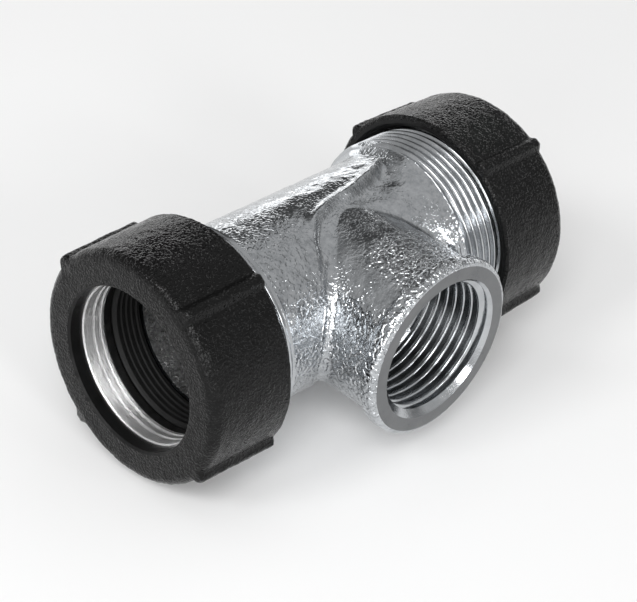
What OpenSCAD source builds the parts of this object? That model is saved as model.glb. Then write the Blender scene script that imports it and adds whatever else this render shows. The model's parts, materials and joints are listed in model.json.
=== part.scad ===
// Compression tee for steel pipe: a cast body with a threaded branch, and at each end of the run
// a screwed nut that presses a split grip ring, a pressure ring and a rubber seal onto the pipe.
// The run lies along X and the branch points along -Y. Their axes cross at the origin.

/* [Pipe] */
// Outside diameter of the pipe that the run takes
pipe_d = 33.7; // [32:0.1:36]
// Radial room between the pipe and the body's bore
bore_room = 0.45; // [0.3:0.05:0.6]
// Radial room between the pipe and the ribs of the seal
seal_room = 0.75; // [0.65:0.05:0.9]
// Radial room between the pipe and the teeth of the open grip ring
grip_room = 1.25; // [1:0.05:1.4]
// Radial room between the pipe and the hole in the nut
hole_room = 1.85; // [1.4:0.05:2.2]

/* [Body] */
// Wall of the casting around the run
body_wall = 3.8; // [3:0.1:4.5]
// Left end of the body, measured from the branch axis
left_arm = 45; // [42:0.5:60]
// Right end of the body, measured from the branch axis
right_arm = 41.4; // [40:0.2:60]
// Length of the screw thread on the left end
left_thread = 12.8; // [12:0.1:16]
// Length of the screw thread on the right end
right_thread = 18.9; // [12:0.1:19.5]
// Length over which the casting swells up to the left thread
left_flare = 2.5; // [1.5:0.5:6]
// Length over which the casting swells up to the right thread, away from the branch
right_flare = 1.5; // [1:0.5:6]
// Length of the longer swelling beside the branch
right_shoulder = 6.5; // [2:0.5:8]
// Angle about the run that the longer swelling takes up, with the branch in its middle
shoulder_angle = 210; // [190:5:230]
// Wall between the mouth of the seal's seat and the crests of the screw thread
mouth_wall = 3.1; // [2.5:0.1:4]
// Plain turned stretch between the left swelling and the thread
left_land = 0.3; // [0:0.1:4]
// Plain turned stretch between the right swelling and the thread
right_land = 0.5; // [0:0.1:4]
// Pitch of the screw threads, which are drawn as rings
thread_pitch = 2; // [1.5:0.1:2.5]
// Depth of the screw threads
thread_depth = 1; // [0.6:0.05:1.2]
// Chamfer at the start of each screw thread
thread_lead = 1; // [0.5:0.1:1.5]
// Radius of the cast fillet where the branch meets the run
crotch_round = 3.5; // [2:0.5:5]

/* [Branch] */
// Distance of the branch mouth from the run axis
branch_len = 36.2; // [33:0.2:45]
// Diameter inside the crests of the branch thread
branch_thread_d = 30.3; // [29.5:0.1:31]
// Length of the branch thread behind its chamfer
branch_thread_len = 17.3; // [10:0.1:17.5]
// Pitch of the branch thread, which is drawn as rings
branch_pitch = 2.309; // [1.8:0.001:2.4]
// Depth of the branch thread
branch_depth = 1.4; // [0.8:0.05:1.5]
// Depth of the chamfer in the branch mouth
mouth_chamfer = 1.8; // [1:0.1:2.2]
// Extra radius of the bore behind the branch thread
relief_step = 1.05; // [0.8:0.05:1.4]
// Wall of the branch neck, to the crests of its thread
neck_wall = 4.65; // [4:0.05:5]
// Width of the bead around the branch mouth
bead_len = 3.4; // [2.6:0.2:6]
// Height of the bead above the neck
bead_proud = 1.6; // [0.8:0.1:2]
// Length of the slope at the back of the bead
bead_slope = 1.6; // [1:0.1:3]
// Rounding of the bead's front edge
bead_round = 0.9; // [0.6:0.1:1.4]

/* [Seal] */
// Length of the seal inside the body
seat_len = 6.8; // [5:0.2:8]
// Length of the seal that stands out of the body
seal_proud = 1; // [0.5:0.1:2]
// Wall of the seal at its narrow inner end
seal_back_wall = 1.5; // [1.3:0.1:1.8]
// Wall of the seal at its wide outer end
seal_front_wall = 2.7; // [2.2:0.1:3]
// Number of ribs inside the seal
seal_ribs = 5; // [3:1:7]
// Depth of the grooves between the ribs
rib_depth = 0.5; // [0.2:0.1:0.6]

/* [Rings] */
// Thickness of the pressure ring
pressure_t = 2.2; // [2:0.1:3.5]
// Radial step from the grip ring's teeth back to the pressure ring's hole
pressure_step = 0.5; // [0.2:0.1:0.8]
// Length of the grip ring
grip_len = 6; // [5.6:0.1:8]
// Wall of the grip ring at its thin outer end
grip_wall = 1.9; // [1.5:0.1:2.4]
// Growth of the grip ring's outer radius towards the body
grip_taper = 1.6; // [0.8:0.1:2]
// Plain stretch inside the grip ring before its first groove
grip_land = 2.4; // [1.5:0.1:2.6]
// Distance from one groove between the grip ring's teeth to the next
tooth_pitch = 1.85; // [1.5:0.05:2]
// Width of the grooves
groove_w = 0.8; // [0.5:0.05:1]
// Depth of the grooves
groove_depth = 0.7; // [0.3:0.05:0.9]
// Gap of the split in the grip ring
split_w = 3; // [1.5:0.5:6]
// Turn of the split about the ring's axis
split_angle = -40; // [-90:5:90]

/* [Nut] */
// Length of the nut
nut_len = 21.6; // [19:0.1:24]
// Thickness of the flange around the nut's hole
flange_t = 3.35; // [2:0.05:4]
// Chamfer at the outer edge of the nut's hole
hole_chamfer = 0.5; // [0.2:0.1:1]
// Wall of the nut at its open end, to the thread crests of the body
nut_wall = 3.4; // [2.5:0.1:4]
// Loss of outer radius from the open end to the pipe end
nut_taper = 0.5; // [0.3:0.1:2]
// Rounding of the outer edge at the pipe end
nut_round = 2.5; // [1:0.1:3]
// Rounding of the outer edge at the open end
skirt_round = 0.5; // [0.3:0.1:1.2]
// Number of ridges around the nut
ridge_count = 4; // [2:1:8]
// Width of each ridge along its top
ridge_w = 1.8; // [1:0.1:3]
// Width of each ridge at its foot
ridge_foot = 4.2; // [3:0.1:6]
// Height of the ridges above the nut
ridge_proud = 1.3; // [0.6:0.1:2]
// Rounding of the front end of each ridge
ridge_round = 1.5; // [0.5:0.1:2]
// Step back of the ridges from the pipe end
ridge_setback = 0.4; // [0.4:0.1:2]
// Turn of the left nut, seen from its own end
left_turn = 10.6; // [-45:0.1:45]
// Turn of the right nut, seen from its own end
right_turn = -11.6; // [-45:0.1:45]

/* [Clearances] */
// Gap between faces that rest on each other along the run
seat_gap = 0.1; // [0.05:0.05:0.3]
// Radial gap between the body's thread and the nut, whose own thread is drawn as a plain bore
thread_gap = 0.3; // [0.2:0.05:0.4]
// Radial gap between the grip ring and the cone in the nut
cone_gap = 0.25; // [0.1:0.05:0.4]
// Radial gap between the seal and its seat
seal_gap = 0.1; // [0.05:0.05:0.2]
// Radial gap between the pressure ring and the nut
pressure_gap = 0.35; // [0.2:0.05:0.6]
// Room between the end of the body and the step inside the nut
end_room = 2; // [1.5:0.1:2.2]

/* [Hidden] */
$fn = 96;
// Steps in each drawn curve, around the fillet and across it
curve_steps = 6;
fillet_turns = 60;
fillet_steps = 6;
// How far a cutting or joining shape reaches past a face
past = 1;
// Step left at the ends of the longer swelling, where it runs out into the round of the run
shoulder_step = 0.15;
// How far the edges of the fillet reach below the surfaces that it joins, and how far the rest of it
// is lifted, so that its flat facets don't dip into them
fillet_sink = 0.2;
fillet_lift = 0.04;
// Part of a thread's pitch that stays as the crest
crest_share = 0.16;
// Bevel on the edges of the rings and the seal
edge_bevel = 0.3;

// Radii, from the pipe outwards
pipe_r = pipe_d / 2;
bore_r = pipe_r + bore_room;
seal_r = pipe_r + seal_room;
grip_r = pipe_r + grip_room;
hole_r = pipe_r + hole_room;
run_r = bore_r + body_wall;
seal_back_r = seal_r + seal_back_wall;
seal_front_r = seal_r + seal_front_wall;
seat_back_r = seal_back_r + seal_gap;
mouth_r = seal_front_r + seal_gap;
thread_r = mouth_r + mouth_wall;
grip_front_r = grip_r + grip_wall;
grip_back_r = grip_front_r + grip_taper;
nut_bore_r = grip_back_r + cone_gap;
nut_thread_r = thread_r + thread_gap;
skirt_r = nut_thread_r + nut_wall;
nut_end_r = skirt_r - nut_taper;
branch_thread_r = branch_thread_d / 2;
neck_r = branch_thread_r + neck_wall;
bead_r = neck_r + bead_proud;

// Places along the run where the casting ends and its threads start
left_start = left_thread - left_arm;
right_start = right_arm - right_thread;

// Places along one end of the run, outwards from the end face of the body
pressure_at = seal_proud + seat_gap;
grip_at = pressure_at + pressure_t + seat_gap;
flange_at = grip_at + grip_len + seat_gap;
nut_face = flange_at + flange_t;
skirt_at = nut_face - nut_len;

// Points of a profile are [radius, place along the axis]
function arc(centre, radius, from, to) =
    [for (i = [0 : curve_steps]) let (a = from + (to - from) * i / curve_steps)
        centre + radius * [cos(a), sin(a)]];
function ease(p, q) =
    [for (i = [0 : curve_steps]) let (s = i / curve_steps)
        [p[0] + (q[0] - p[0]) * (1 - cos(180 * s)) / 2, p[1] + (q[1] - p[1]) * s]];
// Screw thread drawn as rings: grooves one pitch apart, with narrow crests between them
function thread_rings(crest_r, root_r, pitch, from, to) =
    let (count = floor((to - from) / pitch), half = (1 - crest_share) * pitch / 2)
    [for (i = [0 : 1 : count - 1]) let (middle = from + (i + 0.5) * pitch)
        each [[crest_r, middle - half], [root_r, middle], [crest_r, middle + half]]];

// Stands a shape made along Z on the left or right end face of the body, pointing outwards
module at_left_end() translate([-left_arm, 0, 0]) rotate([0, -90, 0]) children();
module at_right_end() translate([right_arm, 0, 0]) rotate([0, 90, 0]) children();

// Longer swelling of the run towards the right thread, on the side of the branch. A block with
// sloping sides, which almost touch the round of the run, brings it down to nothing at each end.
module shoulder() {
    start = right_start - right_shoulder;
    half = shoulder_angle / 2;
    touch = (run_r + shoulder_step) * [-cos(half), sin(half)];
    front = touch - 2 * thread_r * [sin(half), cos(half)];
    intersection() {
        rotate([0, 90, 0]) rotate_extrude() polygon(concat(
            [[run_r - past, start]],
            ease([run_r, start], [thread_r, right_start]),
            [[run_r - past, right_start + past]]));
        rotate([90, 0, 90]) linear_extrude(right_arm)
            polygon([touch, front, [front[0], -front[1]], [touch[0], -touch[1]]]);
    }
}

// Outside of the run: a cast tube that swells to a screw thread at each end
module run_outside() {
    root_r = thread_r - thread_depth;
    rotate([0, 90, 0]) rotate_extrude() polygon(concat(
        [[0, -left_arm], [thread_r - thread_lead, -left_arm], [thread_r, thread_lead - left_arm]],
        thread_rings(thread_r, root_r, thread_pitch, thread_lead - left_arm, left_start - left_land),
        ease([thread_r, left_start], [run_r, left_start + left_flare]),
        ease([run_r, right_start - right_flare], [thread_r, right_start]),
        thread_rings(thread_r, root_r, thread_pitch, right_start + right_land, right_arm - thread_lead),
        [[thread_r, right_arm - thread_lead], [thread_r - thread_lead, right_arm], [0, right_arm]]));
}

// Bore of the run: straight through, with a tapered seat for the seal at each end
module run_bore() {
    rotate([0, 90, 0]) rotate_extrude() polygon([
        [0, -left_arm - past], [mouth_r, -left_arm - past], [mouth_r, -left_arm],
        [seat_back_r, seat_len - left_arm], [bore_r, seat_len - left_arm],
        [bore_r, right_arm - seat_len], [seat_back_r, right_arm - seat_len],
        [mouth_r, right_arm], [mouth_r, right_arm + past], [0, right_arm + past]]);
}

// Outside of the branch: a neck with a rounded bead around its mouth
module branch_outside() {
    bead_back = branch_len - bead_len;
    rotate([90, 0, 0]) rotate_extrude() polygon(concat(
        [[0, 0], [neck_r, 0]],
        ease([neck_r, bead_back - bead_slope], [bead_r, bead_back]),
        arc([bead_r - bead_round, branch_len - bead_round], bead_round, 0, 90),
        [[0, branch_len]]));
}

// Bore of the branch: chamfer, thread, and a wider bore behind it
module branch_bore() {
    thread_end = branch_len - mouth_chamfer;
    thread_start = thread_end - branch_thread_len;
    relief_r = branch_thread_r + relief_step;
    rotate([90, 0, 0]) rotate_extrude() polygon(concat(
        [[0, 0], [relief_r, 0], [relief_r, thread_start], [branch_thread_r, thread_start]],
        thread_rings(branch_thread_r, branch_thread_r + branch_depth, branch_pitch, thread_start, thread_end),
        [[branch_thread_r, thread_end], [branch_thread_r + mouth_chamfer, branch_len],
         [branch_thread_r + mouth_chamfer, branch_len + past], [0, branch_len + past]]));
}

// Section of the crotch fillet at one angle about the branch: the arc of a ball that rolls around
// the branch while it touches the run, closed by a point under the line where the two meet
function crotch_section(angle) =
    let (reach = neck_r + crotch_round,
         ball = [reach * cos(angle), -sqrt(pow(run_r + crotch_round, 2) - pow(reach * sin(angle), 2)),
                 reach * sin(angle)],
         to_branch = -[ball[0], 0, ball[2]] / reach,
         to_run = -[0, ball[1], ball[2]] / (run_r + crotch_round),
         spread = acos(to_branch * to_run),
         middle = (to_branch + to_run) / norm(to_branch + to_run))
    concat(
        [for (i = [0 : fillet_steps])
            let (s = i / fillet_steps,
                 radius = crotch_round + ((i == 0 || i == fillet_steps) ? fillet_sink : -fillet_lift))
            ball + radius * (sin((1 - s) * spread) * to_branch + sin(s * spread) * to_run) / sin(spread)],
        [ball + (crotch_round / cos(spread / 2) + past) * middle]);

// Fillet where the branch meets the run, all the way around the branch
module crotch_fillet() {
    count = fillet_steps + 2;
    points = [for (k = [0 : fillet_turns - 1]) each crotch_section(360 * k / fillet_turns)];
    function at(k, i) = (k % fillet_turns) * count + i % count;
    polyhedron(points, [for (k = [0 : fillet_turns - 1]) for (i = [0 : count - 1])
        each [[at(k, i), at(k, i + 1), at(k + 1, i + 1)], [at(k, i), at(k + 1, i + 1), at(k + 1, i)]]]);
}

module tee_body() {
    color([0.72, 0.74, 0.76]) difference() {
        union() {
            run_outside();
            shoulder();
            branch_outside();
            crotch_fillet();
        }
        run_bore();
        branch_bore();
    }
}

// One ridge of the nut: a bar with sloping sides that follows the taper of the nut
module nut_ridge() {
    front = nut_face - ridge_setback;
    open_r = skirt_r + ridge_proud;
    end_r = nut_end_r + ridge_proud;
    lean = atan(nut_taper / (nut_len - skirt_round - nut_round));
    // Half of the bar's outline, from its inner side out to its top
    half = [[-nut_wall, ridge_foot / 2], [0, ridge_foot / 2], [ridge_proud, ridge_w / 2],
            [ridge_proud + past, ridge_w / 2]];
    intersection() {
        rotate_extrude() polygon(concat(
            [[nut_bore_r, skirt_at], [open_r - skirt_round, skirt_at], [open_r, skirt_at + skirt_round]],
            arc([end_r - ridge_round, front - ridge_round], ridge_round, 0, 90),
            [[nut_bore_r, front]]));
        translate([skirt_r, 0, skirt_at]) rotate([0, -lean, 0]) translate([0, 0, -past])
            linear_extrude(nut_len + 2 * past)
                polygon(concat([for (p = half) [p[0], -p[1]]], [for (i = [len(half) - 1 : -1 : 0]) half[i]]));
    }
}

// Screwed nut: tapered outside with ridges, and inside a flange, a cone and a threaded skirt
module nut() {
    color([0.13, 0.13, 0.14]) difference() {
        union() {
            rotate_extrude() polygon(concat(
                [[0, skirt_at], [skirt_r - skirt_round, skirt_at], [skirt_r, skirt_at + skirt_round]],
                arc([nut_end_r - nut_round, nut_face - nut_round], nut_round, 0, 90),
                [[0, nut_face]]));
            for (i = [0 : ridge_count - 1]) rotate(360 * i / ridge_count) nut_ridge();
        }
        rotate_extrude() polygon([
            [0, skirt_at - past], [nut_thread_r + thread_lead, skirt_at - past],
            [nut_thread_r + thread_lead, skirt_at], [nut_thread_r, skirt_at + thread_lead],
            [nut_thread_r, end_room], [nut_bore_r, end_room], [nut_bore_r, grip_at],
            [grip_front_r + cone_gap, flange_at], [hole_r, flange_at],
            [hole_r, nut_face - hole_chamfer], [hole_r + hole_chamfer, nut_face],
            [hole_r + hole_chamfer, nut_face + past], [0, nut_face + past]]);
    }
}

// Split grip ring: a cone outside, and inside a plain land and teeth with grooves between them
module grip_ring() {
    front = grip_at + grip_len;
    grooves = floor((grip_len - grip_land - groove_w - edge_bevel) / tooth_pitch) + 1;
    color([0.8, 0.81, 0.82]) difference() {
        rotate_extrude() polygon(concat(
            [[grip_back_r - edge_bevel, grip_at], [grip_back_r, grip_at + edge_bevel],
             [grip_front_r, front - edge_bevel], [grip_front_r - edge_bevel, front],
             [grip_r + edge_bevel, front], [grip_r, front - edge_bevel]],
            [for (i = [0 : grooves - 1]) let (top = front - grip_land - i * tooth_pitch)
                each [[grip_r, top], [grip_r + groove_depth, top - groove_w / 2], [grip_r, top - groove_w]]],
            [[grip_r, grip_at + edge_bevel], [grip_r + edge_bevel, grip_at]]));
        rotate(split_angle) translate([0, -split_w / 2, grip_at - past])
            cube([grip_back_r + past, split_w, grip_len + 2 * past]);
    }
}

// Flat steel ring that carries the push of the grip ring over to the seal
module pressure_ring() {
    hole = grip_r + pressure_step;
    rim = nut_bore_r - pressure_gap;
    top = pressure_at + pressure_t;
    color([0.3, 0.3, 0.32]) rotate_extrude() polygon([
        [hole + edge_bevel, pressure_at], [rim - edge_bevel, pressure_at], [rim, pressure_at + edge_bevel],
        [rim, top - edge_bevel], [rim - edge_bevel, top], [hole + edge_bevel, top],
        [hole, top - edge_bevel], [hole, pressure_at + edge_bevel]]);
}

// Rubber seal: a cone outside that fits the seat, and ribs inside that grip the pipe
module seal() {
    back = seat_gap - seat_len;
    pitch = (seal_proud - back - 2 * edge_bevel) / seal_ribs;
    // Share of the pitch taken by the slope on each side of a rib
    rib_slope = 0.25;
    color([0.07, 0.07, 0.07]) rotate_extrude() polygon(concat(
        [[seal_back_r - edge_bevel, back], [seal_back_r, back + edge_bevel], [seal_front_r, 0],
         [seal_front_r, seal_proud - edge_bevel], [seal_front_r - edge_bevel, seal_proud],
         [seal_r + rib_depth + edge_bevel, seal_proud]],
        [for (i = [0 : seal_ribs - 1]) let (top = seal_proud - edge_bevel - i * pitch)
            each [[seal_r + rib_depth, top], [seal_r, top - rib_slope * pitch],
                  [seal_r, top - (1 - rib_slope) * pitch]]],
        [[seal_r + rib_depth, back + edge_bevel], [seal_r + rib_depth + edge_bevel, back]]));
}

module left_nut() { at_left_end() rotate(45 + left_turn) nut(); }
module right_nut() { at_right_end() rotate(45 + right_turn) nut(); }
module left_grip_ring() { at_left_end() grip_ring(); }
module right_grip_ring() { at_right_end() grip_ring(); }
module left_pressure_ring() { at_left_end() pressure_ring(); }
module right_pressure_ring() { at_right_end() pressure_ring(); }
module left_seal() { at_left_end() seal(); }
module right_seal() { at_right_end() seal(); }

tee_body();
left_nut();
right_nut();
left_grip_ring();
right_grip_ring();
left_pressure_ring();
right_pressure_ring();
left_seal();
right_seal();
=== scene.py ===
"""Looks of a compression tee: a galvanised casting, two black cast nuts and the rings inside them.

The casting and the nuts are modelled here as closed meshes with cut screw threads and a cast skin.
The rings and seals are the CAD solids with their own finishes. Lengths are in millimetres in the
CAD frame: the run lies along X, the branch points along -Y and their axes cross at the origin.
Angles about the run start at the branch and rise towards the top.
"""

import json
import math

import bmesh
import bpy
import numpy as np
from mathutils import Matrix, Vector


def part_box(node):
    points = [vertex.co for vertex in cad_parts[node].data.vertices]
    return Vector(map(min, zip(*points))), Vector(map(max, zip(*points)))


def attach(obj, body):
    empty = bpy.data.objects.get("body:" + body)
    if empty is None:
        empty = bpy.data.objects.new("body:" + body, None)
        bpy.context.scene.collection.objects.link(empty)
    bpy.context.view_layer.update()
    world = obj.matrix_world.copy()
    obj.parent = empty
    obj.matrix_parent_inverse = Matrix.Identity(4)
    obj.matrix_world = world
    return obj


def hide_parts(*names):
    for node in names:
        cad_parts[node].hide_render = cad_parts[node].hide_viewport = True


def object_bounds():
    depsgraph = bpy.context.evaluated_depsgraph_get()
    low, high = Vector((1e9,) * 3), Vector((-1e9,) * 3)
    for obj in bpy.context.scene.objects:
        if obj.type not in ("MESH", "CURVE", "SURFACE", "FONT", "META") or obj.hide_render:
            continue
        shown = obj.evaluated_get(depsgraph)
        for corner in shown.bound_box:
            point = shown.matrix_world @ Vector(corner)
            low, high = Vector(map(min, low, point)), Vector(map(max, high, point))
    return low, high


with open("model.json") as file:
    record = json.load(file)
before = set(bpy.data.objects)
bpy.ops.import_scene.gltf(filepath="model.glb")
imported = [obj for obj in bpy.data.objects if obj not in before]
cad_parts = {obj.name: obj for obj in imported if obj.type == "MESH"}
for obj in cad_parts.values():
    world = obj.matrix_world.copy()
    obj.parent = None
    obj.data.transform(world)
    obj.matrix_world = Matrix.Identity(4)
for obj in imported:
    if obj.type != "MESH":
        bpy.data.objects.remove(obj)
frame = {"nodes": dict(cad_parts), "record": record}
cad_low, cad_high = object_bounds()

MM = 0.001
TURN = 2 * math.pi


def node_box(node):
    low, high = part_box(node)
    return np.array(low) / MM, np.array(high) / MM


mounts = {mount["name"]: mount for mount in frame["record"]["mounts"]}
body_low, body_high = node_box("tee_body")
nut_low, nut_high = node_box("left_nut")
grip_low, grip_high = node_box("left_grip_ring")

# Sizes taken from the frame
LEFT_END, RIGHT_END = body_low[0], body_high[0]
THREAD_R = body_high[2]
MOUTH_Y = body_low[1]
BORE_R = mounts["run_bore"]["dims"]["r_mm"]
BRANCH_R = mounts["branch_thread"]["dims"]["r_mm"]
NUT_FACE = LEFT_END - nut_low[0]
NUT_BACK = LEFT_END - nut_high[0]
SKIRT_R = nut_high[2]
GRIP_FRONT = LEFT_END - grip_low[0]
GRIP_BACK = LEFT_END - grip_high[0]

# Casting: the run and its swellings. The right one is longer on the side of the branch
RUN_R = 21.1
LEFT_FLARE = (-29.6, -32.7)
RIGHT_FLARE = (21.0, 24.6)
RIGHT_SHOULDER = 16.0
SHOULDER_ANGLES = (79, 105)
SWELL_EASE = 0.3
FLARE_PROUD = 0.5
CROTCH_ROUND = 2.0

# Change from turned metal to cast skin, by how far the cast surface lies below the turned one
SKIN_EDGE = (-0.05, 0.15)

# Uneven surface of the right swelling
UNEVEN_FROM = (18, 22)
UNEVEN_SIZE = 9
UNEVEN_HEIGHT = 0.22
UNEVEN_SEED = 5

# Lip across the run's top, by places and angles of its line, and where it rises and fades
LIP_X = (-19, -16, -13, -9.6, -6.2, -2.2, 1.6, 5.1, 9.3, 14, 17.4, 21)
LIP_ANGLES = (42, 57, 70, 79, 82, 85, 86, 87, 90, 93, 97, 101)
LIP_PROUD = 0.9
LIP_WIDTH = 1.25
LIP_RISES, LIP_FADES = (-12.5, -8.5), (20, 17)

# Drop in front of the lip down to the branch, with its slopes by distance from the lip
LIP_DROP = 1.1
DROP_RISES, DROP_FADES = (-19, -11), (21, 16)
DROP_STARTS, DROP_ENDS = (0.2, 2.6), (11, 4)

# Hollow of the run where the branch's fillet starts, and the distance over which the two blend
LIP_HOLLOW = 0.7
HOLLOW_RISES, HOLLOW_FADES = (-20, -10), (19, 11)
FILLET_BLEND = (0.2, 4)

# Seam that goes on from the lip down the left crotch, with angles about the branch
SEAM_PROUD = 0.35
SEAM_WIDTH = 0.4
SEAM_RISES, SEAM_FADES = (146, 156), (184, 176)

# Share of a screw groove's depth over one pitch, from root to crest to root
GROOVE = ((0.06, 0.1, 0.3, 0.35, 0.44, 0.56, 0.65, 0.7, 0.9, 0.94),
          (1, 0.87, 0.24, 0.085, 0, 0, 0.085, 0.24, 0.87, 1))
SPARE_TURNS = 4

# Screw threads of the run, by the place where each starts. The right rows stop clear of the branch
RUN_PITCH = 2.0
RUN_DEPTH = 1.05
LEFT_THREAD = -32.2
RIGHT_THREAD = 21.2
RIGHT_ROWS_END = RIGHT_THREAD + 0.8
THREAD_FADE = 1.6
THREAD_LEAD = 1.0

# Seats for the seals, from the end faces inwards
MOUTH_R = 20.4
SEAT_R = 19.2
SEAT_LEN = 6.8

# Branch
NECK_R = 19.8
BEAD_R = 21.4
BEAD_LEN = 3.4
BEAD_SLOPE = 1.6
BEAD_ROUND = 1.3
BRANCH_CHAMFER = 1.8
BRANCH_PITCH = 2.309
BRANCH_DEPTH = 1.4
BRANCH_THREAD_END = -17.6
BRANCH_FADE = 1.5
RELIEF_R = 16.2

# Nuts, in the frame of one end: zero at the end face of the casting, outwards is positive
NUT_END_R = SKIRT_R - 0.5
NUT_ROUND = 2.5
SKIRT_ROUND = 0.5
NUT_CREST_R = 23.65
NUT_DEPTH = 0.9
NUT_FADE = 1.0
NUT_LEAD = 2.0
NUT_RIM = 1.2
NUT_STEP = 2.0
CONE_R = 21.85
CONE_END_R = 20.25
GRIP_GAP = 0.1
HOLE_R = 18.7
HOLE_CHAMFER = 0.5
LEFT_NUT_TURN = 45 + 10.6
RIGHT_NUT_TURN = 45 - 11.6

# Ridges of the nuts, whose fronts sink into the rounded edge of the face
RIDGES = 4
RIDGE_PROUD = 1.3
RIDGE_TOP = 1.8
RIDGE_FOOT = 4.6
RIDGE_SOFT = 0.3
RIDGE_ROUND = 1.5
RIDGE_SETBACK = 0.4
RIDGE_SINK = 0.05

# Lumps in the cast skins, by size and height of each layer. They cut inwards from near their tops
CASTING_LUMPS, CASTING_SEED = ((5.0, 0.035), (1.7, 0.03)), 11
NUT_LUMPS, LEFT_NUT_SEED, RIGHT_NUT_SEED = ((4.0, 0.03), (1.2, 0.025)), 31, 41
LUMP_TOP = 1.6
LUMP_REACH = 4
LUMP_SPREAD = (0.75, 1.5)

# Share of cast skin on the walls inside the casting, and on a nut's face and rim
WALL_CAST = 0.6
FACE_CAST = 0.7
RIM_CAST = 0.3

# Mesh steps. The run's are crowded towards the branch
RUN_STEPS = 168
RUN_CROWDING = 0.45
BRANCH_HALF_STEPS = 84
NUT_STEPS = 480
BORE_STEP = 1.5
FLARE_STEP = 0.3
PLAIN_STEP = 0.5
HOLE_STEP = 0.6
FILLET_ROWS = 12
NECK_ROWS = 24
SLOPE_ROWS = 5
BEAD_ARC_POINTS = 7
RELIEF_ROWS = 7
NUT_SIDE_POINTS = 52
NUT_ARC_POINTS = 12
NUT_FACE_POINTS = 13
SINK_ROWS = 5
JOIN_DIGITS = 5
SHARP_ANGLE = 38

# Where a corner lies, the materials of the faces, and the averages over corners that choose them
OUTSIDE, INNER_WALL, FACED_END = range(3)
CAST, TURNED, BORE, FACED = range(4)
CAST_FROM, BORE_FROM, FACED_FROM = 0.5, 0.5, 1.2


def smooth(start, end, value):
    """0 before start, 1 after end, with an even slope at both."""
    s = np.clip((value - start) / (end - start), 0, 1)
    return s * s * (3 - 2 * s)


def window(rises, fades, value):
    """1 between the slope where it rises and the one where it fades, 0 outside them."""
    return smooth(*rises, value) * smooth(*fades, value)


def lumps(points, size, seed, waves=72):
    """Even random swelling of about unit height, with bumps about size apart."""
    rng = np.random.default_rng(seed)
    ways = rng.normal(size=(waves, 3))
    ways /= np.linalg.norm(ways, axis=1)[:, None]
    ways *= TURN / (size * rng.uniform(*LUMP_SPREAD, waves))[:, None]
    return np.cos(points @ ways.T + rng.uniform(0, TURN, waves)).sum(1) * math.sqrt(2 / waves)


def groove(place, angle, pitch):
    """Depth from 0 to 1 of a right-hand screw groove at a place along its axis."""
    return np.interp(np.mod((place + pitch * angle / TURN) / pitch, 1), *GROOVE)


def helix_rows(make, start, end, pitch, angle):
    """Rows of corners that follow a right-hand screw thread from start to end, where they lie level.
    Make turns a row of places along the axis into the numbers of its corners."""
    sign = 1 if end > start else -1
    low, high = min(start, end), max(start, end)
    phases = GROOVE[0]
    first = math.floor(low / pitch)
    turns = range(first, first + int((high - low) / pitch) + SPARE_TURNS)
    places = [pitch * (turn + phase) for turn in turns for phase in phases]
    rows = []
    for place in places:
        row = make(np.clip(place - pitch * angle / TURN, low, high))
        rows.append(np.append(row, rows[-len(phases)][0] if len(rows) >= len(phases) else row[0]))
    for row in rows[: len(phases)]:
        row[-1] = rows[0][0]
    return rows[::sign]


def steps(start, end, step):
    """Evenly spaced values from start to end, both included."""
    return np.linspace(start, end, max(2, int(math.ceil(abs(end - start) / step)) + 1))


def shares(rows):
    """As many even shares, the last of them 1."""
    return np.linspace(0, 1, rows + 1)[1:]


def arc(centre, radius, start, end, count):
    """Points of a round stretch of a profile, angles in degrees."""
    angles = np.radians(np.linspace(start, end, count))
    return [(centre[0] + radius * math.cos(a), centre[1] + radius * math.sin(a)) for a in angles]


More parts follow.
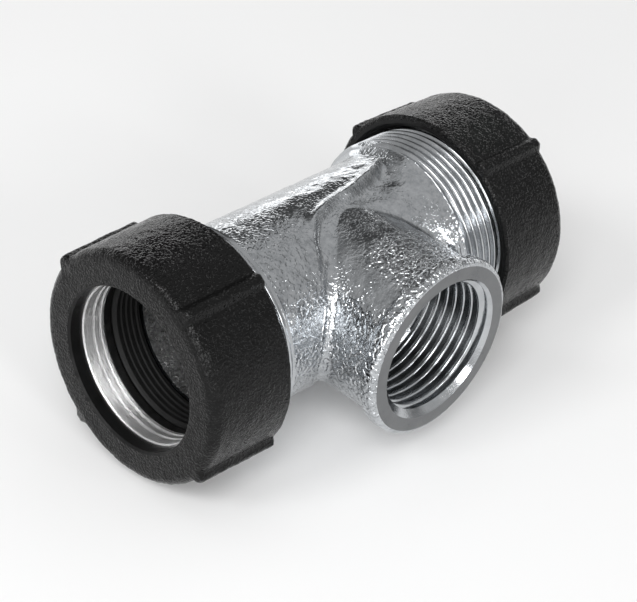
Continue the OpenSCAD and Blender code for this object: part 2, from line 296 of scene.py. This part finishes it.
class Skin:
    """Collects the corners of a mesh with the share of cast skin at each, and its faces."""

    def __init__(self):
        self.points, self.cast, self.where, self.quads, self.count = [], [], [], [], 0

    def add(self, points, cast, where=OUTSIDE):
        """Adds corners and returns their numbers."""
        points = np.asarray(points, float).reshape(-1, 3)
        self.points.append(points)
        self.cast.append(np.broadcast_to(np.asarray(cast, float), (len(points),)))
        self.where.append(np.full(len(points), where))
        self.count += len(points)
        return np.arange(self.count - len(points), self.count)

    def span(self, rows):
        """Joins each row of corners to the next one with four-sided faces."""
        for a, b in zip(rows[:-1], rows[1:]):
            self.quads.append(np.stack([a[:-1], a[1:], b[1:], b[:-1]], 1))

    def build(self, name, materials, layers, seed):
        """Makes the mesh, with corners that coincide joined. Layers are (size, height) of the lumps
        in its cast skin. The materials are those of cast, turned, bore and faced surfaces."""
        points, cast = np.concatenate(self.points), np.concatenate(self.cast)
        where, quads = np.concatenate(self.where), np.concatenate(self.quads)
        _, first, same = np.unique(
            np.round(points, JOIN_DIGITS), axis=0, return_index=True, return_inverse=True)
        points, cast, where = points[first], cast[first], where[first]
        quads = same.reshape(-1)[quads]
        finish = np.where(cast[quads].mean(1) < CAST_FROM, TURNED, CAST).astype(np.int32)
        lies = where[quads].mean(1)
        finish[(lies > BORE_FROM) & (where[quads].max(1) == INNER_WALL)] = BORE
        finish[lies > FACED_FROM] = FACED
        faces = [list(dict.fromkeys(quad)) for quad in quads.tolist()]
        whole = [len(face) > 2 for face in faces]
        faces, finish = [face for face in faces if len(face) > 2], finish[whole]
        mesh = bpy.data.meshes.new(name)
        mesh.from_pydata((points * MM).tolist(), [], faces)
        tidy = bmesh.new()
        tidy.from_mesh(mesh)
        bmesh.ops.recalc_face_normals(tidy, faces=tidy.faces)
        tidy.to_mesh(mesh)
        tidy.free()
        normals = np.zeros(len(points) * 3, np.float32)
        mesh.vertices.foreach_get("normal", normals)
        height = np.zeros(len(points))
        for number, (size, tall) in enumerate(layers):
            height += tall * np.clip(lumps(points, size, seed + number) - LUMP_TOP, -LUMP_REACH, 0)
        points = points + normals.reshape(-1, 3) * (height * cast)[:, None]
        mesh.vertices.foreach_set("co", (points * MM).astype(np.float32).ravel())
        for material in materials:
            mesh.materials.append(material)
        mesh.polygons.foreach_set("material_index", finish)
        mesh.polygons.foreach_set("use_smooth", np.ones(len(mesh.polygons), bool))
        mesh.set_sharp_from_angle(angle=math.radians(SHARP_ANGLE))
        mesh.update()
        piece = bpy.data.objects.new(name, mesh)
        bpy.context.scene.collection.objects.link(piece)
        return piece


def lip(x, angle):
    """Height of the lip that crosses the run's top, with the drop in front of it. The slope of the
    lip's line is taken over one millimetre."""
    before, line, after = (
        np.radians(np.interp(x + step, LIP_X, LIP_ANGLES)) for step in (-0.5, 0, 0.5))
    below = RUN_R * (line - angle) / np.hypot(1, RUN_R * (after - before))
    proud = window(LIP_RISES, LIP_FADES, x) * np.exp(-(below / LIP_WIDTH) ** 2)
    drop = window(DROP_RISES, DROP_FADES, x) * window(DROP_STARTS, DROP_ENDS, below)
    return LIP_PROUD * proud - LIP_DROP * drop


def right_swell(x, angle):
    """Share of the swelling towards the right thread. It eases in and then rises evenly."""
    off = np.degrees(np.minimum(angle, TURN - angle))
    start = RIGHT_SHOULDER + (RIGHT_FLARE[0] - RIGHT_SHOULDER) * smooth(*SHOULDER_ANGLES, off)
    s = np.clip((x - start) / (RIGHT_FLARE[1] - start), 0, 1)
    eased = np.where(s < SWELL_EASE, s * s / (2 * SWELL_EASE), s - SWELL_EASE / 2)
    return eased / (1 - SWELL_EASE / 2)


def beside_branch(x):
    """Radius of the run where the branch's fillet meets it, a little hollow in front of the lip."""
    hollow = LIP_HOLLOW * window(HOLLOW_RISES, HOLLOW_FADES, x)
    return RUN_R + (THREAD_R + FLARE_PROUD - RUN_R) * right_swell(x, 0.0) - hollow


def run_profile(x, angle):
    """Outer radius of the run, and the share of cast skin there."""
    swell = smooth(*LEFT_FLARE, x) + right_swell(x, angle)
    around = np.stack([x, RUN_R * np.cos(angle), RUN_R * np.sin(angle)], -1).reshape(-1, 3)
    uneven = lumps(around, UNEVEN_SIZE, UNEVEN_SEED).reshape(x.shape)
    uneven = uneven * UNEVEN_HEIGHT * smooth(*UNEVEN_FROM, x)
    cast = RUN_R + (THREAD_R + FLARE_PROUD - RUN_R) * swell + uneven + lip(x, angle)
    deep = smooth(LEFT_THREAD, LEFT_THREAD - THREAD_FADE, x)
    deep = deep + smooth(RIGHT_THREAD, RIGHT_THREAD + THREAD_FADE, x)
    turned = THREAD_R - RUN_DEPTH * deep * groove(x, angle, RUN_PITCH)
    lead = THREAD_R - THREAD_LEAD + np.minimum(x - LEFT_END, RIGHT_END - x)
    turned = np.minimum(turned, lead)
    return np.minimum(cast, turned), smooth(*SKIN_EDGE, turned - cast)


def around_run(x, radius, angle):
    """Points at an angle about the run."""
    return np.stack(np.broadcast_arrays(x, -radius * np.cos(angle), radius * np.sin(angle)), -1)


def tee_casting(materials):
    """The whole casting as one closed skin: the run's outside, ends and bore, and the branch."""
    skin = Skin()
    spaced = np.linspace(0, 1, RUN_STEPS + 1)
    spaced = spaced - RUN_CROWDING * np.sin(TURN * spaced) / TURN
    full = TURN * spaced
    half = np.linspace(math.pi, 0, BRANCH_HALF_STEPS + 1)
    reach = NECK_R + CROTCH_ROUND

    def ring(x, radius):
        row = skin.add(around_run(x, radius, full[:-1]), 0)
        return np.append(row, row[0])

    def bore_ring(x):
        row = skin.add(around_run(x, BORE_R, full[:-1]), WALL_CAST, INNER_WALL)
        return np.append(row, row[0])

    def outside(x):
        radius, cast = run_profile(x, full[:-1])
        return skin.add(around_run(x, radius, full[:-1]), cast)

    def outside_ring(x):
        row = outside(np.full(RUN_STEPS, x))
        return np.append(row, row[0])

    def opening_columns(reach_x, edge_angle, radius_of, where):
        """Columns across the hole that the branch leaves in a round wall, as rows of corners. The
        first and the last one touch the hole in one point and are closed."""
        columns = []
        for t in half:
            edge = edge_angle(t)
            closed = math.sin(t) < 1e-9
            angle = (edge + (TURN - 2 * edge) * spaced)[: RUN_STEPS if closed else None]
            x = np.full(len(angle), reach_x * math.cos(t))
            radius, cast = radius_of(x, angle, edge)
            row = skin.add(around_run(x, radius, angle), cast, where)
            columns.append(np.append(row, row[0]) if closed else row)
        return columns

    def contact(t):
        """Radius of the casting's run under the ball that rolls around the branch."""
        return beside_branch(np.asarray(reach * np.cos(t), float))

    def seam(t):
        """Height of the seam that runs down the left crotch."""
        return SEAM_PROUD * window(SEAM_RISES, SEAM_FADES, np.degrees(t))

    def outer_edge(t):
        return math.asin(reach * math.sin(t) / (float(contact(t)) + CROTCH_ROUND))

    def outer_radius(x, angle, edge):
        radius, cast = run_profile(x, angle)
        base = beside_branch(x)
        away = RUN_R * np.minimum(angle - edge, TURN - edge - angle)
        free = smooth(*FILLET_BLEND, away)
        fall = np.exp(-((angle - edge) * RUN_R / SEAM_WIDTH) ** 2)
        raised = seam(np.arccos(np.clip(x / reach, -1, 1))) * fall
        return base + (radius - base) * free + raised, 1 - (1 - cast) * free

    def inner_edge(t):
        return math.asin(RELIEF_R * math.sin(t) / BORE_R)

    def inner_radius(x, angle, edge):
        return np.full(len(x), BORE_R), WALL_CAST

    # Ends of the run, from the edge of the bore's opening out to the edge of the outer opening
    def end(sign):
        face = RIGHT_END if sign > 0 else LEFT_END
        seat = face - sign * SEAT_LEN
        rows = [bore_ring(x) for x in steps(sign * RELIEF_R, seat, BORE_STEP)[1:]]
        rows += [ring(seat, SEAT_R)]
        for s in shares(2):
            rows.append(ring(face - sign * (SEAT_LEN * (1 - s)), SEAT_R + (MOUTH_R - SEAT_R) * s))
        rows += [ring(face, (MOUTH_R + THREAD_R - THREAD_LEAD) / 2)]
        thread = RIGHT_ROWS_END if sign > 0 else LEFT_THREAD
        rows += helix_rows(outside, face, thread, RUN_PITCH, full[:-1])
        if sign < 0:
            flare = steps(LEFT_THREAD, LEFT_FLARE[0], FLARE_STEP)[1:]
            plain = steps(LEFT_FLARE[0], -reach, PLAIN_STEP)[1:-1]
            rows += [outside_ring(x) for x in np.append(flare, plain)]
        return rows

    outer = opening_columns(reach, outer_edge, outer_radius, OUTSIDE)
    inner = opening_columns(RELIEF_R, inner_edge, inner_radius, INNER_WALL)
    loop = end(-1) + outer + end(1)[::-1] + inner[::-1]
    skin.span(loop + loop[:1])

    def rim(columns):
        """The edge of an opening as one row around the branch, from the right side over the top."""
        upper = [column[0] for column in columns[::-1]]
        lower = [column[-1] for column in columns[1:-1]]
        return np.array(upper + lower + upper[:1])

    # Branch, from its edge on the run outwards over the bead and back in through the thread
    t = np.concatenate([half[::-1], TURN - half[1:-1]])

    def branch_ring(radius, y, cast, where=OUTSIDE):
        x, y, z = np.broadcast_arrays(radius * np.cos(t), y, radius * np.sin(t))
        row = skin.add(np.stack([x, y, z], -1), cast, where)
        return np.append(row, row[0])

    run_r = contact(t)
    ball = np.stack([reach * np.cos(t),
                     -np.sqrt((run_r + CROTCH_ROUND) ** 2 - (reach * np.sin(t)) ** 2),
                     reach * np.sin(t)], -1)
    to_branch = -np.stack([np.cos(t), 0 * t, np.sin(t)], -1)
    to_run = -ball * [0, 1, 1] / (run_r + CROTCH_ROUND)[:, None]
    sweep = np.arccos(np.clip((to_branch * to_run).sum(1), -1, 1))[:, None]
    rows = [rim(outer)]
    for s in shares(FILLET_ROWS):
        way = (np.sin((1 - s) * sweep) * to_run + np.sin(s * sweep) * to_branch) / np.sin(sweep)
        raised = seam(t)[:, None] * np.exp(-(s * sweep * CROTCH_ROUND / SEAM_WIDTH) ** 2)
        row = skin.add(ball + (CROTCH_ROUND - raised) * way, 1)
        rows.append(np.append(row, row[0]))
    bead_back = MOUTH_Y + BEAD_LEN
    bead_front = MOUTH_Y + BEAD_ROUND
    neck_end = bead_back + BEAD_SLOPE
    for s in shares(NECK_ROWS):
        rows.append(branch_ring(NECK_R, ball[:, 1] + (neck_end - ball[:, 1]) * s, 1))
    for s in shares(SLOPE_ROWS):
        radius = NECK_R + (BEAD_R - NECK_R) * smooth(0, 1, s)
        rows.append(branch_ring(radius, neck_end - BEAD_SLOPE * s, 1))
    for y in steps(bead_back, bead_front, PLAIN_STEP)[1:]:
        rows.append(branch_ring(BEAD_R, y, 1))
    edge = arc((BEAD_R - BEAD_ROUND, bead_front), BEAD_ROUND, 0, -90, BEAD_ARC_POINTS)
    for radius, y in edge[1:-1]:
        rows.append(branch_ring(radius, y, 1))
    for radius in steps(BEAD_R - BEAD_ROUND, BRANCH_R + BRANCH_CHAMFER, PLAIN_STEP):
        rows.append(branch_ring(radius, MOUTH_Y, 0, FACED_END))

    def thread_row(y):
        deep = BRANCH_DEPTH * smooth(BRANCH_THREAD_END, BRANCH_THREAD_END - BRANCH_FADE, y)
        cut = BRANCH_R + deep * groove(y, t, BRANCH_PITCH)
        return branch_ring(np.maximum(cut, BRANCH_R + BRANCH_CHAMFER - (y - MOUTH_Y)), y, 0)[:-1]

    rows += helix_rows(thread_row, MOUTH_Y, BRANCH_THREAD_END, BRANCH_PITCH, t)
    meet = -np.sqrt(BORE_R ** 2 - (RELIEF_R * np.sin(t)) ** 2)
    for s in np.linspace(0, 1, RELIEF_ROWS + 1)[:-1]:
        y = BRANCH_THREAD_END + (meet - BRANCH_THREAD_END) * s
        rows.append(branch_ring(RELIEF_R, y, WALL_CAST, INNER_WALL))
    skin.span(rows + [rim(inner)])
    return skin.build("tee_casting", materials, CASTING_LUMPS, CASTING_SEED)


def nut(name, turn, place, seed, materials):
    """A nut as one closed skin. Its ridges are a second profile that the first swells to."""
    skin = Skin()
    angle = np.linspace(0, TURN, NUT_STEPS + 1)[:-1]
    back, face = NUT_BACK, NUT_FACE

    def outline(skirt, end, round_off, top):
        """Points of an outer profile, from the open end to where its round meets the face."""
        start, stop = back + SKIRT_ROUND, top - round_off
        points = [(skirt - SKIRT_ROUND, back)]
        for s in np.linspace(0, 1, NUT_SIDE_POINTS):
            points.append((skirt + (end - skirt) * s, start + (stop - start) * s))
        return np.array(points + arc((end - round_off, stop), round_off, 0, 90, NUT_ARC_POINTS)[1:])

    # Outer profiles, plain and on a ridge, with as many points each
    plain = outline(SKIRT_R, NUT_END_R, NUT_ROUND, face)
    ridge = outline(SKIRT_R + RIDGE_PROUD, NUT_END_R + RIDGE_PROUD, RIDGE_ROUND,
                    face - RIDGE_SETBACK)
    front = ridge[-1 - SINK_ROWS]
    sunk = plain[-1] - [0, RIDGE_SINK]
    ridge[-SINK_ROWS:] = front + (sunk - front) * shares(SINK_ROWS)[:, None]

    # Share of the ridge at each angle, with soft cast edges
    apart = TURN / RIDGES
    off = np.abs(np.mod(angle + apart / 2, apart) - apart / 2) * SKIRT_R
    share = smooth(RIDGE_FOOT / 2, RIDGE_TOP / 2 - RIDGE_SOFT, off)

    def ring(radius, along, cast):
        radius, along = np.broadcast_arrays(radius, along, angle)[:2]
        row = skin.add(np.stack([radius * np.cos(angle), radius * np.sin(angle), along], -1), cast)
        return np.append(row, row[0])

    # Rows from the open end over the outside and the face, and back in through the hole
    rows = []
    for low, high in zip(plain, ridge):
        point = low + (high - low) * share[:, None]
        rows.append(ring(point[:, 0], point[:, 1], 1))
    face_radii = np.linspace(NUT_END_R - NUT_ROUND, HOLE_R + HOLE_CHAMFER, NUT_FACE_POINTS)
    rows += [ring(radius, face, FACE_CAST) for radius in face_radii[1:]]
    cone_end = GRIP_FRONT + GRIP_GAP
    rows += [ring(HOLE_R, z, 0) for z in steps(face - HOLE_CHAMFER, cone_end, HOLE_STEP)]
    rows += [ring(CONE_END_R, cone_end, 0)]
    rows += [ring(CONE_R, z, 0) for z in (GRIP_BACK, NUT_STEP)]

    def thread_row(along):
        z = -along
        deep = NUT_DEPTH * smooth(NUT_STEP, NUT_STEP - NUT_FADE, z)
        cut = NUT_CREST_R + deep * groove(along, angle, RUN_PITCH)
        return ring(np.maximum(cut, SKIRT_R - NUT_LEAD - (z - back)), z, 0)[:-1]

    rows += helix_rows(thread_row, -NUT_STEP, -back, RUN_PITCH, angle)
    rows += [ring(SKIRT_R - NUT_RIM, back, RIM_CAST)]
    skin.span(rows + rows[:1])
    piece = skin.build(name, materials, NUT_LUMPS, seed)
    piece.data.transform(place @ Matrix.Rotation(math.radians(turn), 4, "Z"))
    return piece


class Nodes:
    """Adds linked nodes to a tree. Each input is a socket to link or a value to set."""

    def __init__(self, tree):
        self.tree = tree

    def fill(self, node, inputs):
        for key, value in inputs.items():
            if isinstance(value, bpy.types.NodeSocket):
                self.tree.links.new(value, node.inputs[key])
            else:
                node.inputs[key].default_value = value

    def add(self, kind, inputs, **settings):
        made = self.tree.nodes.new(kind)
        for key, value in settings.items():
            setattr(made, key, value)
        self.fill(made, inputs)
        return made

    def spread(self, value, low, high, to_low=0.0, to_high=1.0):
        """A value stretched from one range to another and held at its ends."""
        inputs = {"Value": value, "From Min": low, "From Max": high,
                  "To Min": to_low, "To Max": to_high}
        return self.add("ShaderNodeMapRange", inputs).outputs["Result"]

    def combine(self, a, b, operation="MULTIPLY"):
        return self.add("ShaderNodeMath", {0: a, 1: b}, operation=operation).outputs["Value"]

    def axes(self, vector):
        """The parts of a vector along X, Y and Z."""
        return self.add("ShaderNodeSeparateXYZ", {"Vector": vector}).outputs


class Finish(Nodes):
    """A node material, with its patterns in millimetres on the object."""

    def __init__(self, name):
        self.material = bpy.data.materials.new(name)
        self.material.use_nodes = True
        super().__init__(self.material.node_tree)
        self.where = self.tree.nodes.new("ShaderNodeTexCoord").outputs["Object"]

    def noise(self, size, detail=3, rough=0.6, stretch=None):
        """Noise with features about size apart, finer along each axis by its part of stretch."""
        vector = self.where
        if stretch:
            inputs = {"Vector": vector, "Scale": stretch}
            vector = self.add("ShaderNodeMapping", inputs).outputs["Vector"]
        inputs = {"Vector": vector, "Scale": 1 / (size * MM), "Detail": detail, "Roughness": rough}
        return self.add("ShaderNodeTexNoise", inputs).outputs["Fac"]

    def along(self, axis, low, high):
        """0 before low and 1 after high along an axis."""
        return self.spread(axis, low * MM, high * MM)

    def tint(self, value, *stops):
        """Colours of a value from its stops, each a place from 0 to 1 with its colour."""
        ramp = self.add("ShaderNodeValToRGB", {"Fac": value})
        points = ramp.color_ramp.elements
        for spot, (at, colour) in zip([points[0], points[1]], (stops[0], stops[-1])):
            spot.position, spot.color = at, (*colour, 1)
        for at, colour in stops[1:-1]:
            points.new(at).color = (*colour, 1)
        return ramp.outputs["Color"]

    def bump(self, height, deep, after=None, share=1.0):
        """Normals of a relief that is deep millimetres high, on top of another one."""
        inputs = {"Height": height, "Strength": share, "Distance": deep * MM}
        if after:
            inputs["Normal"] = after
        return self.add("ShaderNodeBump", inputs).outputs["Normal"]

    def give(self, **inputs):
        """Fills the shader's inputs and returns the material."""
        named = {key.replace("_", " "): value for key, value in inputs.items()}
        self.fill(self.tree.nodes["Principled BSDF"], named)
        return self.material


def grey(level, blue=0.0):
    return (level * (1 - blue), level, level * (1 + blue))


def galvanised_cast():
    """Hot-dip zinc over a sand casting: bright, with fine dots. It is dented on top of the branch,
    on its bead and low down, and less so on the left of the run."""
    zinc = Finish("galvanised_cast")
    patch = zinc.noise(2.6, 5, 0.78)
    dots = zinc.spread(zinc.noise(0.6, 1), 0.5, 0.7)
    dents = zinc.spread(zinc.noise(0.95, 0.5), 0.42, 0.6)
    dotted = zinc.spread(zinc.noise(9, 2), 0.4, 0.6, 0.4, 1.0)
    x, y, z = zinc.axes(zinc.where)
    top = zinc.combine(zinc.along(z, 16.9, 17.8), zinc.along(y, -16.5, -18.5))
    low_or_bead = zinc.combine(zinc.along(z, 8, 2), zinc.along(y, -30.5, -32), "MAXIMUM")
    left = zinc.combine(zinc.along(x, -12, -22), 0.42)
    coarse = zinc.combine(zinc.combine(top, low_or_bead, "MAXIMUM"), left, "MAXIMUM")
    dented = zinc.spread(coarse, 0.0, 1.0, 0.1, 1.0)
    shades = (0.36, grey(0.4, 0.04)), (0.5, grey(0.52, 0.035)), (0.66, grey(0.6, 0.03))
    return zinc.give(
        Base_Color=zinc.tint(patch, *shades), Metallic=1.0,
        Roughness=zinc.spread(patch, 0.3, 0.7, 0.08, 0.13),
        Normal=zinc.bump(dots, 0.05, zinc.bump(dents, 0.2, share=dented), dotted))


def bore_cast():
    """Dull dark wall inside the run."""
    wall = Finish("bore_cast")
    patch, grain = wall.noise(1.3, 4, 0.75), wall.noise(0.8, 3)
    return wall.give(
        Base_Color=wall.tint(patch, (0.36, grey(0.16)), (0.66, grey(0.4))), Metallic=1.0,
        Roughness=wall.spread(grain, 0.3, 0.7, 0.25, 0.4), Normal=wall.bump(grain, 0.6))


def black_cast():
    """Black coat over a rough casting, with a fine grain and specks."""
    coat = Finish("black_cast")
    patch = coat.noise(5, 3)
    grain = coat.spread(coat.noise(0.56, 0.5), 0.4, 0.66)
    specks = coat.spread(coat.noise(0.5, 0.5), 0.56, 0.7)
    return coat.give(
        Base_Color=coat.tint(patch, (0.3, grey(0.003)), (0.7, grey(0.005))), Metallic=0.0,
        Roughness=coat.spread(patch, 0.3, 0.7, 0.1, 0.14), Specular_IOR_Level=0.17,
        Normal=coat.bump(specks, 0.12, coat.bump(grain, 0.06)))


def even_finish(name, patch, shades, rough, grain, deep, **constants):
    """A finish with soft patches between two shades and two roughnesses, and a fine grain. Patch
    and grain are the values of their noise."""
    finish = Finish(name)
    patches = finish.noise(*patch)
    return finish.give(
        Base_Color=finish.tint(patches, (0.3, shades[0]), (0.7, shades[1])),
        Roughness=finish.spread(patches, 0.3, 0.7, *rough),
        Normal=finish.bump(finish.noise(*grain), deep), **constants)


def galvanised_turned():
    """Zinc on cut threads: satin, with fine tool marks."""
    return even_finish(
        "galvanised_turned", patch=(4, 2), shades=(grey(0.46, 0.035), grey(0.56, 0.03)),
        rough=(0.14, 0.2), grain=(0.5, 2), deep=0.025, Metallic=1.0)


def faced_iron():
    """Bare grey iron of a faced end, satin."""
    return even_finish(
        "faced_iron", patch=(5, 2), shades=(grey(0.165, 0.03), grey(0.205, 0.02)),
        rough=(0.26, 0.36), grain=(0.4, 2), deep=0.03, Metallic=1.0)


def black_turned():
    """Black coat on the turned inside of a nut."""
    return even_finish(
        "black_turned", patch=(4, 3), shades=(grey(0.003), grey(0.006)),
        rough=(0.34, 0.46), grain=(0.35, 2), deep=0.03, Metallic=0.0, Specular_IOR_Level=0.2)


def bright_steel():
    """Turned steel of the grip rings, with marks that run around the ring."""
    return even_finish(
        "bright_steel", patch=(4, 3), shades=(grey(0.78), grey(0.9)),
        rough=(0.28, 0.38), grain=(1.2, 2, 0.6, (8, 1, 1)), deep=0.2, Metallic=1.0)


def dark_steel():
    """Nearly black steel of the pressure rings."""
    return even_finish(
        "dark_steel", patch=(2.5, 3), shades=(grey(0.02), grey(0.04)),
        rough=(0.35, 0.5), grain=(0.3, 2), deep=0.02, Metallic=0.8)


def rubber():
    """Matte black rubber of the seals."""
    return even_finish(
        "rubber", patch=(3, 3), shades=(grey(0.003), grey(0.006)),
        rough=(0.45, 0.6), grain=(0.3, 3), deep=0.03, Metallic=0.0, Specular_IOR_Level=0.25)


def dress(node, material):
    """Gives a CAD node that stays its finish."""
    piece = frame["nodes"][node]
    piece.data.materials.clear()
    piece.data.materials.append(material)


def end_place(x, turn):
    """Place of one end of the run, with its Z axis outwards."""
    return Matrix.Translation((x * MM, 0, 0)) @ Matrix.Rotation(turn, 4, "Y")


casting = tee_casting([galvanised_cast(), galvanised_turned(), bore_cast(), faced_iron()])
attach(casting, "fitting")
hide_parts("tee_body")

black = [black_cast(), black_turned()]
nuts = {
    "left": (LEFT_NUT_TURN, end_place(LEFT_END, -math.pi / 2), LEFT_NUT_SEED),
    "right": (RIGHT_NUT_TURN, end_place(RIGHT_END, math.pi / 2), RIGHT_NUT_SEED),
}
for side, (turn, place, seed) in nuts.items():
    piece = nut(side + "_cast_nut", turn, place, seed, black)
    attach(piece, side + "_clamp_nut")
    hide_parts(side + "_nut")

ring_steel, flat_steel, seal_rubber = bright_steel(), dark_steel(), rubber()
for side in ("left", "right"):
    dress(side + "_grip_ring", ring_steel)
    dress(side + "_pressure_ring", flat_steel)
    dress(side + "_seal", seal_rubber)

# Floor, in metres, with a gap under the ridges of a turning nut
FLOOR_HALF = 3
FLOOR_GAP = 0.0001
FLOOR_COLOUR = (0.9, 0.9, 0.9, 1)

# Camera of the photograph's view
CAMERA_PLACE = Vector((-284.55, -245.57, 255.12)) * MM
CAMERA_RIGHT = Vector((0.69839405, -0.70958847, 0.09343421))
CAMERA_AHEAD = Vector((0.62067845, 0.53547221, -0.57273709))
CAMERA_LENS = 114.04
CAMERA_SENSOR = 36
CAMERA_CLIP = (0.01, 20)

# World, by parts of the direction: the room low down and above, and its darker right
ROOM_HEIGHTS, ROOM_LEVELS = (0.1, 0.28), (0.85, 0.55)
RIGHT_SIDE, RIGHT_LEVELS = (0.68, 0.9), (1.0, 0.4)

# Backdrop behind the fitting, and the gap above it, which is darker on the right
BACKDROP_WAY = (0.68, 0.73, 0.0)
BACKDROP_EDGE, BACKDROP_TOP, BACKDROP_LEVEL = (0.45, 0.65), (0.28, 0.16), 2.2
GAP_EDGE, GAP_FOOT = (0.42, 0.52), (0.18, 0.28)
GAP_ACROSS, GAP_LEVELS = (-0.3, 0.3), (0.4, 0.09)


def white_floor():
    """A plain white floor under the fitting."""
    low = min(cad_low.z, -(SKIRT_R + RIDGE_PROUD) * MM) - FLOOR_GAP
    square = ((-1, -1), (1, -1), (1, 1), (-1, 1))
    corners = [(x * FLOOR_HALF, y * FLOOR_HALF, low) for x, y in square]
    mesh = bpy.data.meshes.new("floor")
    mesh.from_pydata(corners, [], [(0, 1, 2, 3)])
    floor = bpy.data.objects.new("floor", mesh)
    bpy.context.scene.collection.objects.link(floor)
    white = bpy.data.materials.new("floor_white")
    white.use_nodes = True
    looks = {"Base Color": FLOOR_COLOUR, "Roughness": 0.9, "Specular IOR Level": 0.1}
    Nodes(white.node_tree).fill(white.node_tree.nodes["Principled BSDF"], looks)
    mesh.materials.append(white)


def studio_world():
    """A plain grey room, pale low down and darker on the right, with a white backdrop behind the
    fitting and a dark gap above that."""
    world = bpy.data.worlds.new("studio")
    bpy.context.scene.world = world
    world.use_nodes = True
    nodes = Nodes(world.node_tree)

    def blend(share, a, b):
        return nodes.add("ShaderNodeMix", {"Factor": share, "A": a, "B": b}).outputs["Result"]

    way = nodes.add("ShaderNodeTexCoord", {}).outputs["Generated"]
    across, back, height = nodes.axes(way)
    dot = nodes.add("ShaderNodeVectorMath", {0: way, 1: BACKDROP_WAY}, operation="DOT_PRODUCT")
    behind = dot.outputs["Value"]
    room = nodes.combine(nodes.spread(height, *ROOM_HEIGHTS, *ROOM_LEVELS),
                         nodes.spread(across, *RIGHT_SIDE, *RIGHT_LEVELS))
    backdrop = nodes.combine(nodes.spread(behind, *BACKDROP_EDGE),
                             nodes.spread(height, *BACKDROP_TOP))
    gap = nodes.combine(nodes.spread(back, *GAP_EDGE), nodes.spread(height, *GAP_FOOT))
    level = blend(gap, blend(backdrop, room, BACKDROP_LEVEL),
                  nodes.spread(across, *GAP_ACROSS, *GAP_LEVELS))
    nodes.fill(world.node_tree.nodes["Background"], {"Color": (1, 1, 1, 1), "Strength": level})


def soft_box(name, place, size, power):
    """A square area light that faces the object."""
    light = bpy.data.lights.new(name, "AREA")
    light.size, light.energy = size, power
    lamp = bpy.data.objects.new(name, light)
    lamp.location = place
    lamp.rotation_euler = (-Vector(place)).to_track_quat("-Z", "Y").to_euler()
    bpy.context.scene.collection.objects.link(lamp)


def camera():
    """The photograph's view, found from the round edges in it."""
    up = CAMERA_RIGHT.cross(CAMERA_AHEAD)
    turned = Matrix((CAMERA_RIGHT, up, -CAMERA_AHEAD)).transposed().to_4x4()
    data = bpy.data.cameras.new("camera")
    data.sensor_width, data.lens = CAMERA_SENSOR, CAMERA_LENS
    data.clip_start, data.clip_end = CAMERA_CLIP
    view = bpy.data.objects.new("camera", data)
    view.matrix_world = Matrix.Translation(CAMERA_PLACE) @ turned
    bpy.context.scene.collection.objects.link(view)
    bpy.context.scene.camera = view


white_floor()
studio_world()
soft_box("key", (-1.24, -0.84, 1.5), size=0.9, power=19)
soft_box("front", (-0.5, -1.9, 0.9), size=0.42, power=7.5)
soft_box("left", (-1.7, 0.2, 1.44), size=0.6, power=11.5)
soft_box("low_left", (-1.1, -0.55, 0.3), size=0.6, power=4)
soft_box("glint", (0.37, -1.94, 0.89), size=0.22, power=2)
camera()
bpy.context.scene.view_settings.view_transform = "Standard"
